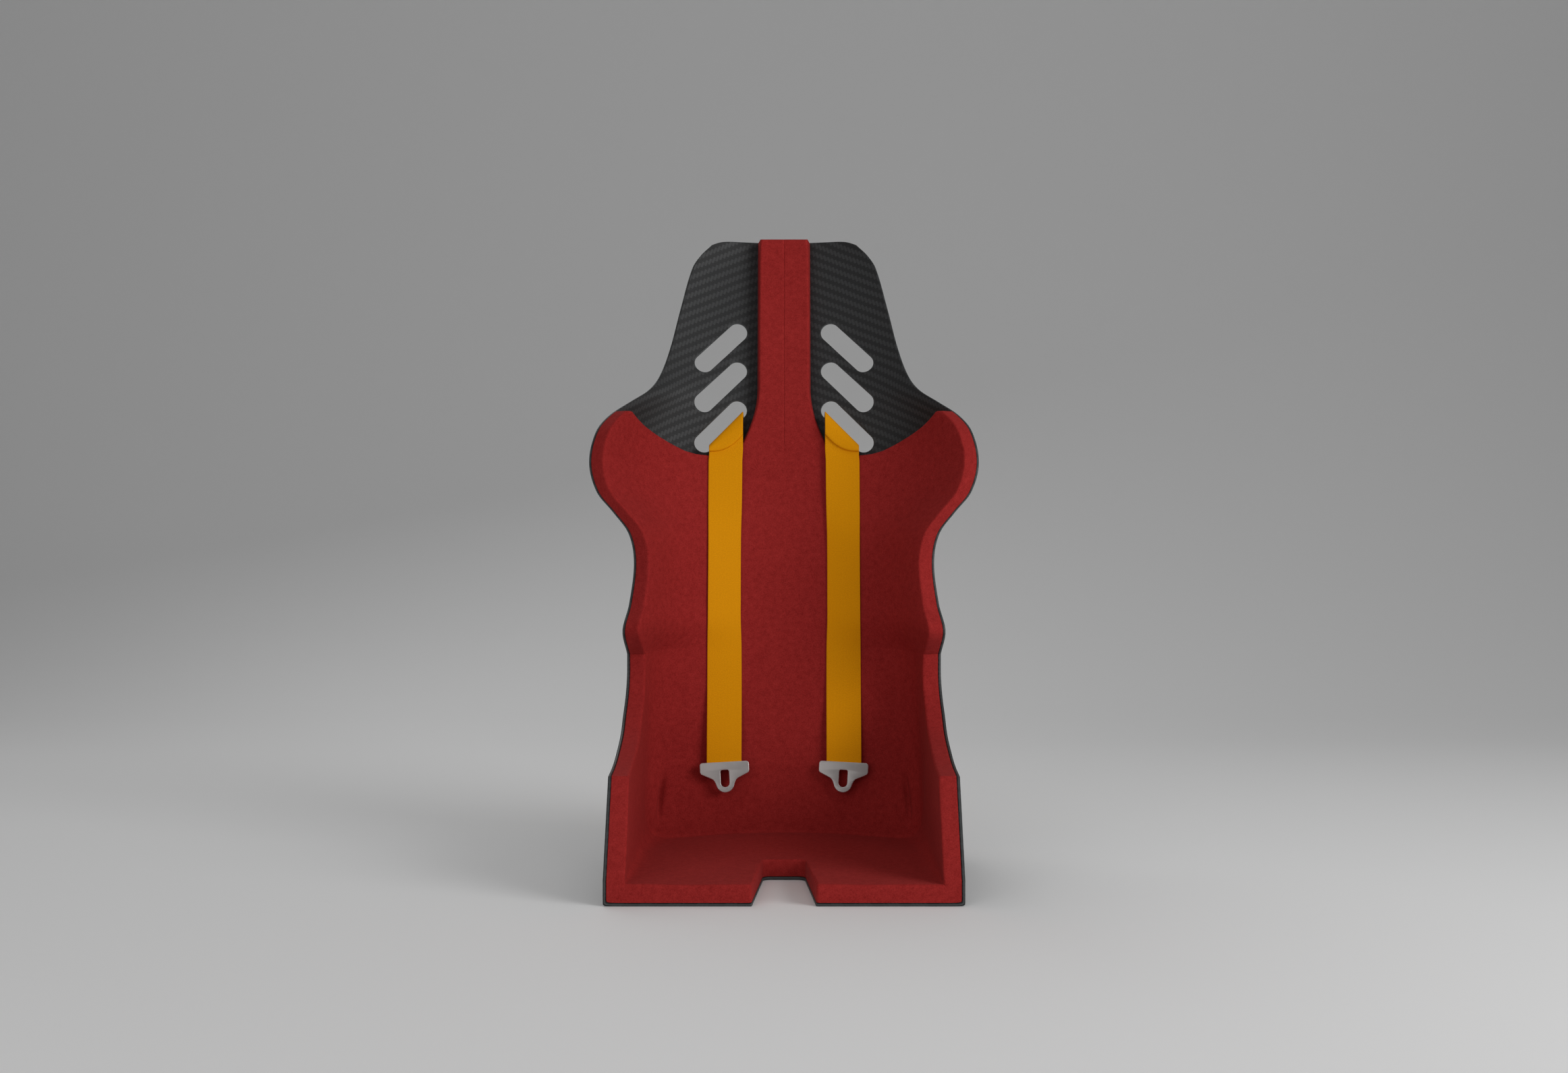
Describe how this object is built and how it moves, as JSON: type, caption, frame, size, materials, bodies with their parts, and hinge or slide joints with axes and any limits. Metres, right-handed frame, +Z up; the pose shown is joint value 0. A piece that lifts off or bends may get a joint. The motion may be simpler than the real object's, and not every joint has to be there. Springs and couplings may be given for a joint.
{
  "type": "bucket seat",
  "caption": "One-piece carbon bucket seat with a fixed velour lining, harness slots and shoulder webbing that ends in swinging latch tongues in front and bolt-in anchors behind.",
  "frame": {"origin": "centre of the box's bottom, under the middle of the seat, on the floor", "axes": "+Z up, -Y the way the driver faces, +X to the right in a view from in front of the seat"},
  "size_m": [0.5478, 0.5592, 0.9],
  "materials": {
    "carbon": "twill carbon laminate under satin resin",
    "velour": "short red velour over foam",
    "webbing": "amber polyester webbing",
    "steel": "satin forged and stamped steel"
  },
  "bodies": {
    "seat": {"shell": "carbon", "seat_lining": "velour", "back_lining": "velour", "slot_webbing_left": "webbing", "slot_webbing_right": "webbing", "mount_inserts_left": "steel", "mount_inserts_right": "steel"},
    "strap_left": {"front_strap_left": "webbing"},
    "tongue_left": {"strap_loop_left": "webbing", "latch_tongue_left": "steel", "loop_pin_left": "steel"},
    "tail_left": {"rear_strap_left": "webbing", "three_bar_slide_left": "steel"},
    "anchor_left": {"anchor_plate_left": "steel"},
    "strap_right": {"front_strap_right": "webbing"},
    "tongue_right": {"strap_loop_right": "webbing", "latch_tongue_right": "steel", "loop_pin_right": "steel"},
    "tail_right": {"rear_strap_right": "webbing", "three_bar_slide_right": "steel"},
    "anchor_right": {"anchor_plate_right": "steel"}
  },
  "joints": [
    {"name": "strap_swing_left", "type": "hinge", "parent": "seat", "child": "strap_left", "pos_m": [-0.08577, 0.17488, 0.56107], "axis": [-0.9962, -0.0852, -0.0198], "range_deg": [0, 85]},
    {"name": "tongue_pivot_left", "type": "hinge", "parent": "strap_left", "child": "tongue_left", "pos_m": [-0.08511, 0.0928, 0.13311], "axis": [-0.9983, -0.0249, -0.053], "range_deg": [0, 80]},
    {"name": "tail_swing_left", "type": "hinge", "parent": "seat", "child": "tail_left", "pos_m": [-0.085, 0.21986, 0.56256], "axis": [1, 0, 0], "range_deg": [-5, 80]},
    {"name": "anchor_pivot_left", "type": "hinge", "parent": "tail_left", "child": "anchor_left", "pos_m": [-0.085, 0.22383, 0.14256], "axis": [1, 0, 0], "range_deg": [-50, 50]},
    {"name": "strap_swing_right", "type": "hinge", "parent": "seat", "child": "strap_right", "pos_m": [0.08577, 0.17488, 0.56107], "axis": [-0.9962, 0.0852, 0.0198], "range_deg": [0, 85]},
    {"name": "tongue_pivot_right", "type": "hinge", "parent": "strap_right", "child": "tongue_right", "pos_m": [0.08511, 0.0928, 0.13311], "axis": [-0.9983, 0.0249, 0.053], "range_deg": [0, 80]},
    {"name": "tail_swing_right", "type": "hinge", "parent": "seat", "child": "tail_right", "pos_m": [0.085, 0.21986, 0.56256], "axis": [1, 0, 0], "range_deg": [-5, 80]},
    {"name": "anchor_pivot_right", "type": "hinge", "parent": "tail_right", "child": "anchor_right", "pos_m": [0.085, 0.22383, 0.14256], "axis": [1, 0, 0], "range_deg": [-50, 50]}
  ]
}
